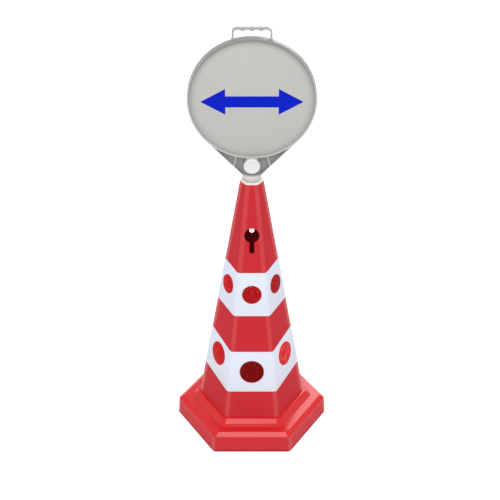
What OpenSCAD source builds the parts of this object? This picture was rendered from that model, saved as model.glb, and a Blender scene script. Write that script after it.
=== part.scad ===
// Hexagonal road cone with a round two-sided sign that plugs into its mouth.
// Millimetres. The front faces -Y, +Z is up, and the origin is the middle of the footprint on the floor.

/* [Cone] */
// Height of the cone from the floor to its mouth
cone_h = 750; // [735:1:770]
// Width across the corners of the mouth
mouth_w = 65.5; // [62:0.5:69]
// Width across the corners of the body at its foot
foot_w = 294.5; // [287:0.5:301]
// Height of the body's foot above the floor
foot_z = 78; // [76:1:80]
// Radius of the edges between the faces
edge_r = 12; // [9:0.5:14]
// Thickness of the moulded wall
wall = 3.5; // [3:0.1:4]

/* [Base] */
// Width of the base beyond the step round the body
flange_w = 52; // [49:0.5:55]
// Height at which the skirt turns over into the flange
skirt_h = 46; // [44:1:47]
// How much the skirt leans in on its way up
skirt_draft = 3; // [2:0.5:4]
// Size of the sloped lip between skirt and flange
lip_r = 8.5; // [7:0.5:9]
// Rise of the flange from the lip to the step
flange_rise = 5; // [3:0.5:6]
// Width of the ledge round the body's foot
ledge_w = 12.5; // [11:0.5:14]
// Fillet radius at the step
step_r = 4; // [3:0.5:4.5]

/* [Keyhole] */
// Height of the round part's centre, as a share of the body's height
key_at = 0.793; // [0.77:0.001:0.81]
// Radius of the round part
key_r = 20; // [17:0.5:21]
// Width of the slot below it
key_slot_w = 13; // [8:0.5:15]
// Length of the slot from the round part's centre to its lower end
key_slot_l = 50; // [40:1:55]

/* [Bands] */
// Lower edge of the upper band on the front face, as a share of the body's height
upper_low_at = 0.454; // [0.44:0.001:0.462]
// Upper edge of the upper band on the front face, as a share of the body's height
upper_high_at = 0.638; // [0.626:0.001:0.647]
// Lower edge of the lower band on the front face, as a share of the body's height
lower_low_at = 0.118; // [0.105:0.001:0.124]
// Upper edge of the lower band on the front face, as a share of the body's height
lower_high_at = 0.296; // [0.282:0.001:0.303]
// Rise of the upper band's edges from the front face to the side edge
upper_rise = 11; // [0:1:16]
// Rise of the lower band's edges from the front face to the side edge
lower_rise = 23; // [0:1:28]
// Thickness of the band sheet
band_t = 0.8; // [0.6:0.1:1.2]

/* [Reflectors] */
// Radius of the reflectors in the upper band
upper_refl_r = 26; // [22:0.5:28]
// Radius of the reflectors in the lower band
lower_refl_r = 33; // [28:0.5:35]
// Thickness of a reflector
refl_t = 1.4; // [1:0.1:2]

/* [Ballast] */
// Height of the rubber ring
ballast_h = 40; // [36:1:41]

/* [Plug and stem] */
// Thickness of the plug's flange on the mouth
plug_flange_t = 3; // [2.5:0.5:4]
// Depth of the plug in the mouth
plug_depth = 88; // [70:1:95]
// Radius of the stem's shaft
shaft_r = 15; // [13:0.5:16]
// Radius of the stem's neck under the panel
neck_r = 26.5; // [25.5:0.5:27.5]
// Height of the neck
neck_h = 18.7; // [17:0.1:20]
// Thickness of the stem's tongue
tongue_t = 10; // [8:0.5:11]

/* [Sign] */
// Outer radius of the panel
panel_r = 163; // [158:1:168]
// Depth of the panel over its rims
panel_d = 18; // [14:1:20]
// Radial thickness of the rim
rim_t = 4.5; // [4:0.5:6]
// Thickness of the web behind the faces
web_t = 6; // [5:0.5:8]
// Thickness of a face sheet
sheet_t = 1; // [0.8:0.1:1.5]
// Height of the gusset from the panel's foot to the round rim
gusset_h = 44.5; // [43:0.5:49]
// Half width of the panel's foot
gusset_foot_w = 26.5; // [25.5:0.5:27.5]
// Thickness of the gusset's edge flanges
gusset_edge_t = 3.5; // [3:0.5:5]
// Distance of the gusset's ribs from the middle
rib_x = 43.5; // [40:0.5:47]
// Thickness of the gusset's ribs
rib_t = 3; // [2:0.5:4]

/* [Clamp] */
// Height of the clamp bolt above the panel's foot
clamp_rise = 28.5; // [28:0.5:29.5]
// Depth of the boss over both ends
boss_d = 40; // [38:1:42]
// Radius of a cap
cap_r = 21; // [20:0.5:22]

/* [Handle] */
// Width of the handle over its legs
handle_w = 99; // [92:1:106]
// Height of the handle's bar above the rim
handle_rise = 25.5; // [23:0.5:29]
// Thickness of the handle's strap
handle_t = 4.5; // [4:0.5:5.5]
// Depth of the handle's strap
handle_d = 11; // [10:1:15]
// Spacing of the finger waves
wave_step = 22; // [18:0.5:24]

/* [Hidden] */
$fn = 96;
arc_steps = 5;
faces = 6;
overcut = 1;
glue_gap = 0.1;
fit_gap = 0.4;
turn_gap = 0.1;
bearing_gap = 0.3;

// Cone
mouth_r = mouth_w / 2;
foot_r = foot_w / 2;
body_h = cone_h - foot_z;
taper = (foot_r - mouth_r) / body_h;
tilt = atan(taper * cos(30));
wall_r = wall / cos(30);
mouth_round = 1.5;
collar_h = 25;
collar_run = 6;

// Places on the body
key_z = foot_z + key_at * body_h;
upper_low = foot_z + upper_low_at * body_h;
upper_high = foot_z + upper_high_at * body_h;
lower_low = foot_z + lower_low_at * body_h;
lower_high = foot_z + lower_high_at * body_h;

// Bare moulded field low on the front and rear faces
field_at = 0.054;
field_z = foot_z + field_at * body_h;
field_w = 73;
field_h = 30.5;
field_t = 0.8;

// Base
riser_r = foot_r + ledge_w;
base_r = riser_r + flange_w;
base_edge_r = 14;
lip_turn = 80;
floor_round = 1.5;
skirt_top_r = base_r - skirt_draft;
flange_z = skirt_h + lip_r;
step_z = flange_z + flange_rise;
seam_gap = 0.3;

// Foot lip of the body, held between the base's ledge and the ballast's collar
lip_t = 3.5;
lip_clamp = 0.2;
lip_top = foot_z - wall - lip_clamp;
lip_low = lip_top - lip_t;
lip_out_r = riser_r - wall_r - 1;
collar_top = lip_low - lip_clamp;

// Ballast
ballast_gap = 0.6;
ballast_draft = 2;
ballast_low_r = base_r - wall_r - ballast_gap;
ballast_top_r = ballast_low_r - skirt_draft * ballast_h / skirt_h;
screw_circle_r = (lip_out_r + ballast_top_r) / 2 * cos(30);
screw_r = 2.5;
screw_head_r = 5.5;
screw_head_h = 3.5;
screw_sink = 6;
post_r = 8;
post_top = flange_z + (flange_rise - wall) / 2;
screw_top = ballast_h + 9;

// Plug and stem
plug_r = mouth_r - wall_r - fit_gap / cos(30);
plug_edge_r = edge_r - wall - fit_gap;
plug_bottom = cone_h - plug_depth;
plug_top = cone_h + plug_flange_t;
plug_flange_r = mouth_r;
lead_in = 3;
shaft_end = plug_bottom - 2;
shaft_chamfer = 1;
neck_z = plug_top + bearing_gap;
neck_foot_r = shaft_r + 4.5;
neck_flat = 2;
keeper_r = 21;
keeper_t = 3;
keeper_bolt_r = 4;
keeper_bolt_l = 28;
bolt_head_r = 7.5;
bolt_head_h = 5.3;
thread_gap = 0.1;
tongue_w = 28;

// Sign
panel_foot_z = neck_z + neck_h;
panel_rise = gusset_h + panel_r;
panel_z = panel_foot_z + panel_rise;
sheet_gap = 0.5;
clamp_z = panel_foot_z + clamp_rise;
tongue_over = 13;
tongue_top = clamp_z + tongue_over;
tongue_gap = 0.3;
neck_block_w = 22.5;
neck_block_wall = 5;
neck_block_d = tongue_t + 2 * (tongue_gap + neck_block_wall);
foot_reach = norm([gusset_foot_w, panel_rise]);
gusset_line_r = panel_r - 0.3;
tangent_a = atan2(-panel_rise, gusset_foot_w) + acos(gusset_line_r / foot_reach);
rib_lean = 14;
rib_l = 38;
rib_rise = 35;

// Clamp
boss_r = cap_r + 0.5;
cap_seat_r = cap_r - 2;
cap_seat = boss_d / 2 - tongue_t / 2 - tongue_gap - 4;
clamp_bolt_r = 4;
washer_r = 9;
washer_t = 1.6;
nut_h = 6.8;
cap_plate_t = 3;
cap_ring_r = 5.5;
cap_ring_rise = 1.8;
cap_skirt_h = 6;
cap_skirt_t = 2.1;

// Handle
handle_corner_r = 12;
leg_x = handle_w / 2 - handle_t / 2;
handle_top = panel_z + panel_r + handle_rise;
leg_foot_z = panel_z + sqrt(panel_r * panel_r - leg_x * leg_x);
seat_gap = 0.15;
peg_t = 4;
peg_d = 8;
peg_l = 3;
peg_gap = 0.2;
wave_r = 10;
wave_rise = 3;
foot_pad_w = 8;
foot_pad_h = 7;

// Corner radius of the cone's body at height z
function body_r(z) = mouth_r + (cone_h - z) * taper;

// Points of a hexagon with rounded corners, r from the axis to its sharp corners
function hex_ring(z, r, round_r) = [
    for (corner = [0 : faces - 1], step = [0 : arc_steps])
        let (
            turn = corner * 60,
            a = turn - 30 + step * 60 / arc_steps,
            reach = r - round_r / cos(30)
        )
        [reach * cos(turn) + round_r * cos(a), reach * sin(turn) + round_r * sin(a), z]
];

// Sections along an arc in the profile, from angle a0 to a1 about the point at radius r, height z
function arc_sections(z, r, arc_r, a0, a1, steps, round_r) = [
    for (i = [0 : steps])
        let (a = a0 + (a1 - a0) * i / steps)
        [z + arc_r * sin(a), r + arc_r * cos(a), round_r]
];

// Side faces between stacked rings of n points each
function side_faces(count, n, closed) = [
    for (i = [0 : count - (closed ? 1 : 2)], j = [0 : n - 1])
        let (up = (i + 1) % count, next = (j + 1) % n)
        each [
            [i * n + j, up * n + j, up * n + next],
            [i * n + j, up * n + next, i * n + next]
        ]
];

// Ring-shaped hexagonal body: sections [z, r, round_r] run up the outside and back down the inside
module hex_shell(sections) {
    polyhedron(
        [for (s = sections) each hex_ring(s[0], s[1], s[2])],
        side_faces(len(sections), faces * (arc_steps + 1), true)
    );
}

// Solid hexagonal body through sections [z, r, round_r] from bottom to top
module hex_solid(sections) {
    n = faces * (arc_steps + 1);
    last = (len(sections) - 1) * n;
    caps = [[for (j = [0 : n - 1]) j], [for (j = [n - 1 : -1 : 0]) last + j]];
    polyhedron(
        [for (s = sections) each hex_ring(s[0], s[1], s[2])],
        concat(side_faces(len(sections), n, false), caps)
    );
}

// A drawing in X and Z, drawn out along Y about the middle plane
module along_y(depth) {
    rotate([90, 0, 0]) linear_extrude(depth, center = true) children();
}

// Points children out of the front face (side 1) or out of the rear face (side -1) at height z
module facing(side, z) {
    translate([0, 0, z]) rotate([90 * side, 0, 0]) children();
}

// Turns children to each of the six faces
module on_faces() {
    for (i = [0 : faces - 1]) rotate(30 + i * 60) children();
}

// Body: up the outside from the top of its foot lip to the mouth, then down the inside
function body_sections() = [
    [lip_top, lip_out_r, edge_r],
    [lip_top, body_r(lip_top), edge_r],
    [cone_h - mouth_round, body_r(cone_h - mouth_round), edge_r],
    [cone_h, mouth_r - mouth_round, edge_r - mouth_round],
    [cone_h, mouth_r - wall_r, edge_r - wall],
    [cone_h - collar_h, mouth_r - wall_r, edge_r - wall],
    [cone_h - collar_h - collar_run, body_r(cone_h - collar_h - collar_run) - wall_r, edge_r - wall],
    [lip_low, body_r(lip_low) - wall_r, edge_r - wall],
    [lip_low, lip_out_r, edge_r]
];

// Base: up the outside from the floor to the ledge round the body, then down the inside
function base_sections() = concat(
    [
        [0, base_r - floor_round, base_edge_r],
        [floor_round, base_r, base_edge_r]
    ],
    arc_sections(skirt_h, skirt_top_r - lip_r, lip_r, 0, lip_turn, 1, base_edge_r),
    arc_sections(step_z + step_r, riser_r + step_r, step_r, 270, 180, 2, edge_r),
    arc_sections(foot_z - step_r, riser_r - step_r, step_r, 0, 90, 3, edge_r),
    [
        [foot_z, body_r(foot_z) + seam_gap, edge_r + seam_gap],
        [foot_z - wall, body_r(foot_z - wall) + seam_gap, edge_r + seam_gap],
        [foot_z - wall, riser_r - wall_r, edge_r - wall],
        [step_z - wall, riser_r - wall_r, edge_r - wall],
        [flange_z - wall, skirt_top_r - lip_r, base_edge_r],
        [skirt_h + lip_r / 2, skirt_top_r - wall_r - lip_r / 8, base_edge_r - wall],
        [skirt_h, skirt_top_r - wall_r, base_edge_r - wall],
        [0, base_r - wall_r, base_edge_r - wall]
    ]
);

module keyhole() {
    translate([0, key_z]) circle(key_r);
    translate([-key_slot_w / 2, key_z - key_slot_l + key_slot_w / 2])
        square([key_slot_w, key_slot_l - key_slot_w / 2]);
    translate([0, key_z - key_slot_l + key_slot_w / 2]) circle(key_slot_w / 2);
}

// Bare raised field that stands out of the front face
module field() {
    sunk = wall / 2;
    translate([0, -body_r(field_z) * cos(30), field_z]) rotate([90 - tilt, 0, 0])
        translate([0, 0, (field_t - sunk) / 2]) cube([field_w, field_h, field_t + sunk], center = true);
}

// The part of the body over a number of faces, counted on from one of its corners
module body_sector(corner, count) {
    beyond = 2 * foot_r;
    intersection() {
        hex_shell(body_sections());
        rotate(corner * 60) linear_extrude(cone_h + overcut)
            polygon(concat([[0, 0]], [for (i = [0 : count]) beyond * [cos(60 * i), sin(60 * i)]]));
    }
}

// One face of the body with its keyhole and field: the front, or turned to the rear
module body_face(turn) {
    color([0.80, 0.17, 0.20])
    rotate(turn)
        difference() {
            union() {
                body_sector(4, 1);
                field();
            }
            along_y(2 * foot_r) keyhole();
        }
}

// Two faces of the body, on the left or the right
module body_side(corner) {
    color([0.80, 0.17, 0.20])
    body_sector(corner, 2);
}

module cone_base() {
    color([0.80, 0.17, 0.20])
    difference() {
        union() {
            hex_shell(base_sections());
            on_faces() translate([screw_circle_r, 0, ballast_h])
                cylinder(r = post_r, h = post_top - ballast_h);
        }
        on_faces() translate([screw_circle_r, 0, ballast_h - overcut])
            cylinder(r = screw_r + thread_gap, h = screw_top - ballast_h + 2 * overcut);
    }
}

module ballast_ring() {
    color([0.09, 0.09, 0.09])
    difference() {
        hex_shell([
            [0, ballast_low_r, base_edge_r - wall],
            [ballast_h, ballast_top_r, base_edge_r - wall],
            [ballast_h, lip_out_r, edge_r],
            [collar_top, lip_out_r, edge_r],
            [collar_top, foot_r, edge_r],
            [0, foot_r + ballast_draft, edge_r]
        ]);
        on_faces() translate([screw_circle_r, 0, -overcut]) {
            cylinder(r = screw_r + fit_gap, h = ballast_h + 2 * overcut);
            cylinder(r = screw_head_r + 1, h = screw_sink + overcut);
        }
    }
}

module ballast_screws() {
    color([0.62, 0.62, 0.64])
    on_faces() translate([screw_circle_r, 0, 0]) {
        translate([0, 0, screw_sink - screw_head_h]) cylinder(r = screw_head_r, h = screw_head_h);
        translate([0, 0, screw_sink - overcut]) cylinder(r = screw_r, h = screw_top - screw_sink + overcut);
    }
}

// Area between a band's edges, seen from the front: level on the front face, rising to the side edges
module band_window(low, high, rise) {
    beyond = 5;
    function corner(z) = body_r(z) / 2;
    function edge_end(z) = [
        body_r(z + rise) + beyond,
        z + rise + beyond * rise / (body_r(z + rise) - corner(z))
    ];
    right = [[corner(low), low], edge_end(low), edge_end(high), [corner(high), high]];
    polygon(concat(right, [for (i = [3 : -1 : 0]) [-right[i][0], right[i][1]]]));
}

// One half of a band: side 1 is the front half, side -1 the rear half
module band_half(low, high, rise, side) {
    inner = glue_gap / cos(30);
    outer = (glue_gap + band_t) / cos(30);
    z0 = low - overcut;
    z1 = high + rise + overcut;
    half_depth = foot_r + overcut;
    color([0.90, 0.93, 0.97])
    intersection() {
        hex_shell([
            [z0, body_r(z0) + outer, edge_r + glue_gap + band_t],
            [z1, body_r(z1) + outer, edge_r + glue_gap + band_t],
            [z1, body_r(z1) + inner, edge_r + glue_gap],
            [z0, body_r(z0) + inner, edge_r + glue_gap]
        ]);
        translate([0, -side * (half_depth / 2 + glue_gap), 0]) along_y(half_depth)
            band_window(low, high, rise);
    }
}

// Reflector i in a band: midway up it on the front and rear faces, higher by the rise on the others
module reflector(i, low, high, rise, r) {
    on_front_or_rear = i % 3 == 1;
    z = (low + high) / 2 + (on_front_or_rear ? 0 : rise);
    color([0.62, 0.05, 0.07])
    rotate(-90 + (i - 1) * 60)
        translate([body_r(z) * cos(30), 0, z])
            rotate([0, 90 - tilt, 0])
                translate([0, 0, glue_gap + band_t])
                    cylinder(r = r, h = refl_t);
}

module mouth_plug() {
    flange_bevel = 1;
    color([0.86, 0.85, 0.83])
    difference() {
        hex_solid([
            [plug_bottom, plug_r - lead_in, plug_edge_r - lead_in / 2],
            [plug_bottom + lead_in, plug_r, plug_edge_r],
            [cone_h, plug_r, plug_edge_r],
            [cone_h, plug_flange_r, edge_r],
            [plug_top - flange_bevel, plug_flange_r, edge_r],
            [plug_top, plug_flange_r - flange_bevel, edge_r - flange_bevel]
        ]);
        translate([0, 0, plug_bottom - overcut])
            cylinder(r = shaft_r + turn_gap, h = plug_depth + plug_flange_t + 2 * overcut);
    }
}

// Bowl-shaped half profile of the neck, upright where it meets the panel
module neck_profile() {
    rise = neck_h - neck_flat;
    flare = neck_r - neck_foot_r;
    bowl_r = (rise * rise + flare * flare) / (2 * flare);
    intersection() {
        translate([neck_r - bowl_r, neck_z + rise]) circle(bowl_r);
        translate([neck_r - bowl_r, neck_z]) square([bowl_r, rise]);
    }
    translate([0, neck_z]) square([neck_foot_r - overcut, rise + neck_flat]);
    translate([0, neck_z + rise]) square([neck_r, neck_flat]);
}

module sign_stem() {
    color([0.80, 0.79, 0.77])
    difference() {
        union() {
            rotate_extrude() neck_profile();
            translate([0, 0, shaft_end + shaft_chamfer])
                cylinder(r = shaft_r, h = neck_z + overcut - shaft_end - shaft_chamfer);
            translate([0, 0, shaft_end])
                cylinder(r1 = shaft_r - shaft_chamfer, r2 = shaft_r, h = shaft_chamfer);
            translate([-tongue_w / 2, -tongue_t / 2, panel_foot_z - overcut])
                cube([tongue_w, tongue_t, tongue_top - panel_foot_z + overcut]);
        }
        translate([0, 0, clamp_z]) rotate([90, 0, 0])
            cylinder(r = clamp_bolt_r + tongue_gap, h = 2 * neck_r, center = true);
        translate([0, 0, shaft_end - overcut])
            cylinder(r = keeper_bolt_r + thread_gap, h = keeper_bolt_l + 2 * overcut);
    }
}

module keeper_washer() {
    color([0.62, 0.62, 0.64])
    translate([0, 0, shaft_end - keeper_t])
        difference() {
            cylinder(r = keeper_r, h = keeper_t);
            translate([0, 0, -overcut])
                cylinder(r = keeper_bolt_r + fit_gap, h = keeper_t + 2 * overcut);
        }
}

// Hexagon-head screw pointing up, with the head's upper face at z = 0
module hex_screw(shank_r, length) {
    translate([0, 0, -bolt_head_h]) cylinder(r = bolt_head_r, h = bolt_head_h, $fn = 6);
    translate([0, 0, -overcut]) cylinder(r = shank_r, h = length + overcut);
}

module keeper_screw() {
    color([0.55, 0.55, 0.57])
    translate([0, 0, shaft_end - keeper_t]) hex_screw(keeper_bolt_r, keeper_t + keeper_bolt_l);
}

// Line of the gusset's edge from the panel to its foot, inset from the outside
function gusset_line(inset) =
    let (
        out = [cos(tangent_a), sin(tangent_a)],
        touch = (gusset_line_r - inset) * out,
        foot = [gusset_foot_w, -panel_rise] - inset * out,
        slope = (touch[0] - foot[0]) / (touch[1] - foot[1])
    )
    [touch, [foot[0] - (panel_rise + foot[1]) * slope, -panel_rise]];

// Area below the round panel between two lines that leave it almost as tangents
module gusset() {
    line = gusset_line(0);
    polygon([line[0], line[1], [-line[1][0], line[1][1]], [-line[0][0], line[0][1]], [0, 0]]);
}

// Flange along one edge of the gusset
module gusset_edge() {
    polygon(concat(gusset_line(0), [for (i = [1 : -1 : 0]) gusset_line(gusset_edge_t)[i]]));
}

// Rim, gusset edges and ribs, which stand out of the web on both faces
module panel_frame() {
    difference() {
        circle(panel_r, $fn = 180);
        circle(panel_r - rim_t, $fn = 180);
    }
    for (side = [0, 1]) mirror([side, 0]) {
        gusset_edge();
        intersection() {
            translate([rib_x, rib_rise - panel_rise]) rotate(rib_lean) square([rib_t, rib_l], center = true);
            gusset();
        }
    }
}

module sign_panel() {
    color([0.78, 0.775, 0.76])
    difference() {
        translate([0, 0, panel_z]) {
            along_y(web_t) {
                circle(panel_r - rim_t / 2, $fn = 180);
                gusset();
            }
            along_y(panel_d) panel_frame();
            along_y(neck_block_d)
                translate([-neck_block_w, -panel_rise]) square([2 * neck_block_w, clamp_rise]);
            translate([0, 0, clamp_rise - panel_rise]) rotate([90, 0, 0])
                cylinder(r = boss_r, h = boss_d, center = true);
        }
        for (side = [-1, 1]) {
            facing(side, clamp_z) translate([0, 0, boss_d / 2 - cap_seat])
                cylinder(r = cap_seat_r, h = cap_seat + overcut);
            translate([side * leg_x, 0, leg_foot_z + overcut - (peg_l + peg_gap) / 2])
                cube([peg_t + 2 * peg_gap, peg_d + 2 * peg_gap, peg_l + peg_gap + 2 * overcut], center = true);
        }
        translate([0, 0, (panel_foot_z + tongue_top + tongue_gap - overcut) / 2])
            cube([
                tongue_w + 2 * tongue_gap,
                tongue_t + 2 * tongue_gap,
                tongue_top + tongue_gap - panel_foot_z + overcut
            ], center = true);
        translate([0, 0, clamp_z]) rotate([90, 0, 0])
            cylinder(r = clamp_bolt_r + tongue_gap, h = boss_d, center = true);
    }
}

// Arch of the strap, w wide and up to the height top, with round shoulders
module arch(w, top, corner_r) {
    low = leg_foot_z - foot_pad_h;
    translate([-w / 2, low]) square([w, top - corner_r - low]);
    translate([-w / 2 + corner_r, low]) square([w - 2 * corner_r, top - low]);
    for (side = [-1, 1])
        translate([side * (w / 2 - corner_r), top - corner_r]) circle(corner_r);
}

// Round wave that stands out of the underside of the bar
module finger_wave() {
    intersection() {
        translate([0, wave_r - wave_rise]) circle(wave_r);
        translate([-wave_r, -wave_rise - overcut]) square([2 * wave_r, wave_rise + 2 * overcut]);
    }
}

module carry_handle() {
    inner_top = handle_top - handle_t;
    color([0.80, 0.795, 0.78]) {
        along_y(handle_d)
            difference() {
                union() {
                    difference() {
                        arch(handle_w, handle_top, handle_corner_r);
                        arch(handle_w - 2 * handle_t, inner_top, handle_corner_r - handle_t);
                    }
                    for (i = [-1 : 1])
                        translate([i * wave_step, inner_top]) finger_wave();
                    for (side = [-1, 1])
                        translate([side * leg_x, leg_foot_z])
                            square([foot_pad_w, foot_pad_h], center = true);
                }
                translate([0, panel_z]) circle(panel_r + seat_gap);
            }
        for (side = [-1, 1])
            translate([side * leg_x, 0, leg_foot_z - peg_l / 2 + overcut])
                cube([peg_t, peg_d, peg_l + 2 * overcut], center = true);
    }
}

module face_sheet(side) {
    color([0.76, 0.757, 0.74])
    difference() {
        facing(side, panel_z) translate([0, 0, web_t / 2])
            cylinder(r = panel_r - rim_t - sheet_gap, h = sheet_t, $fn = 180);
        translate([0, 0, clamp_z]) rotate([90, 0, 0])
            cylinder(r = boss_r + sheet_gap, h = boss_d, center = true);
    }
}

module clamp_bolt() {
    head_face = boss_d / 2 - cap_seat + washer_t;
    color([0.55, 0.55, 0.57])
    facing(-1, clamp_z) translate([0, 0, -head_face])
        hex_screw(clamp_bolt_r, boss_d / 2 + head_face - overcut);
}

module clamp_washers() {
    color([0.62, 0.62, 0.64])
    for (side = [-1, 1])
        facing(side, clamp_z) translate([0, 0, boss_d / 2 - cap_seat])
            difference() {
                cylinder(r = washer_r, h = washer_t);
                translate([0, 0, -overcut])
                    cylinder(r = clamp_bolt_r + tongue_gap, h = washer_t + 2 * overcut);
            }
}

module clamp_nut() {
    color([0.55, 0.55, 0.57])
    facing(-1, clamp_z) translate([0, 0, boss_d / 2 - cap_seat + washer_t])
        difference() {
            cylinder(r = bolt_head_r, h = nut_h, $fn = 6);
            translate([0, 0, -overcut])
                cylinder(r = clamp_bolt_r + thread_gap, h = nut_h + 2 * overcut);
        }
}

module cap(side) {
    ring_x = cap_r - cap_ring_r + 1;
    plate_top = boss_d / 2 + cap_plate_t;
    color([0.92, 0.92, 0.92])
    facing(side, clamp_z)
        rotate_extrude() {
            translate([0, boss_d / 2]) square([cap_r, cap_plate_t]);
            intersection() {
                translate([ring_x, plate_top + cap_ring_rise - cap_ring_r]) circle(cap_ring_r);
                translate([0, boss_d / 2]) square([cap_r, cap_plate_t + cap_ring_rise]);
            }
            translate([cap_seat_r - tongue_gap - cap_skirt_t, boss_d / 2 - cap_skirt_h])
                square([cap_skirt_t, cap_skirt_h + overcut]);
        }
}

body_face(0);  // body_front
body_face(180);  // body_rear
body_side(2);  // body_left
body_side(5);  // body_right
cone_base();
ballast_ring();
ballast_screws();
band_half(upper_low, upper_high, upper_rise, 1);  // upper_band_front
band_half(upper_low, upper_high, upper_rise, -1);  // upper_band_rear
band_half(lower_low, lower_high, lower_rise, 1);  // lower_band_front
band_half(lower_low, lower_high, lower_rise, -1);  // lower_band_rear
for (i = [1 : faces])
    reflector(i, upper_low, upper_high, upper_rise, upper_refl_r);
for (i = [1 : faces])
    reflector(i, lower_low, lower_high, lower_rise, lower_refl_r);
mouth_plug();
sign_stem();
keeper_washer();
keeper_screw();
sign_panel();
carry_handle();
face_sheet(1);  // front_sheet
face_sheet(-1);  // rear_sheet
clamp_bolt();
clamp_washers();
clamp_nut();
cap(1);  // front_cap
cap(-1);  // rear_cap
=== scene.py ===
"""Looks of a hexagonal road cone with a round two-sided sign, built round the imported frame."""

from __future__ import annotations

import logging
import math
from dataclasses import dataclass, field
from enum import Enum
from typing import Any, Sequence, Union

import bmesh
import bpy
from mathutils import Euler, Matrix, Vector

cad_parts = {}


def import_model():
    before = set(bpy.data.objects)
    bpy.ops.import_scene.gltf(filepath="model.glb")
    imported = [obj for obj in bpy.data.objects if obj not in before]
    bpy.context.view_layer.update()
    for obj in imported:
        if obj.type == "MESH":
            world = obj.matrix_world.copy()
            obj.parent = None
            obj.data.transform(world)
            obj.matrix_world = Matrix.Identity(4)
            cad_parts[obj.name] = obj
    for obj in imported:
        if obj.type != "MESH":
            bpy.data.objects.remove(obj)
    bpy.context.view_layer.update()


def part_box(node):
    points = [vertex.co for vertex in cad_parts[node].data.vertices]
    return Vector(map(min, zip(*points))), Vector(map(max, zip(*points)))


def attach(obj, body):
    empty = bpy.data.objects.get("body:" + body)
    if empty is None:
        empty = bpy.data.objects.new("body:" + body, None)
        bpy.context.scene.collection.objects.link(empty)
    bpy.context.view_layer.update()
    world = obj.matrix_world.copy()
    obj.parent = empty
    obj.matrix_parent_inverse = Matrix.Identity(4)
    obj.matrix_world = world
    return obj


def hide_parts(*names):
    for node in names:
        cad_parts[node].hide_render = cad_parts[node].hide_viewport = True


LOG = logging.getLogger("cone_sign")

# Height of the round sign's centre above the floor, in metres
SIGN_CENTRE_Z = 0.9795
# Faces of the cone, and the turn from one to the next in degrees
FACES = 6
FACE_TURN = 360 / FACES

Colour = tuple[float, float, float]
Operand = Union["Term", float, int]


def from_srgb(code: str) -> Colour:
    """Turns a display colour into the linear colour that shaders work in.

    Args:
        code: The colour as six hexadecimal digits.

    Returns:
        The linear red, green and blue.
    """
    channels = [int(code[i : i + 2], 16) / 255 for i in (0, 2, 4)]
    linear = [c / 12.92 if c <= 0.04045 else ((c + 0.055) / 1.055) ** 2.4 for c in channels]
    return (linear[0], linear[1], linear[2])


def scaled(colour: Colour, factor: float) -> Colour:
    """Returns a colour made lighter or darker by a factor."""
    return (colour[0] * factor, colour[1] * factor, colour[2] * factor)


class Term:
    """A socket that adds Math nodes to its graph when it is used in an expression."""

    def __init__(self, graph: Graph, socket: bpy.types.NodeSocket) -> None:
        """Wraps a socket of a graph.

        Args:
            graph: The graph that the socket belongs to.
            socket: The output socket to wrap.
        """
        self.graph = graph
        self.socket = socket

    def __add__(self, other: Operand) -> Term:
        """Returns self + other."""
        return self.graph.math("ADD", self, other)

    def __radd__(self, other: Operand) -> Term:
        """Returns other + self."""
        return self.graph.math("ADD", other, self)

    def __sub__(self, other: Operand) -> Term:
        """Returns self - other."""
        return self.graph.math("SUBTRACT", self, other)

    def __rsub__(self, other: Operand) -> Term:
        """Returns other - self."""
        return self.graph.math("SUBTRACT", other, self)

    def __mul__(self, other: Operand) -> Term:
        """Returns self * other."""
        return self.graph.math("MULTIPLY", self, other)

    def __rmul__(self, other: Operand) -> Term:
        """Returns other * self."""
        return self.graph.math("MULTIPLY", other, self)

    def __abs__(self) -> Term:
        """Returns the absolute value."""
        return self.graph.math("ABSOLUTE", self)

    def at_most(self, other: Operand) -> Term:
        """Returns the smaller of self and other."""
        return self.graph.math("MINIMUM", self, other)

    def at_least(self, other: Operand) -> Term:
        """Returns the larger of self and other."""
        return self.graph.math("MAXIMUM", self, other)

    def above(self, low: float, high: float) -> Term:
        """Turns the value into a mask with a smooth rise.

        Args:
            low: The value up to which the mask is 0.
            high: The value from which it is 1.

        Returns:
            The mask.
        """
        ramp = self.graph.node(
            "ShaderNodeMapRange",
            {"interpolation_type": "SMOOTHSTEP"},
            {"Value": self, "From Min": low, "From Max": high},
        )
        return self.graph.term(ramp, "Result")


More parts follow.
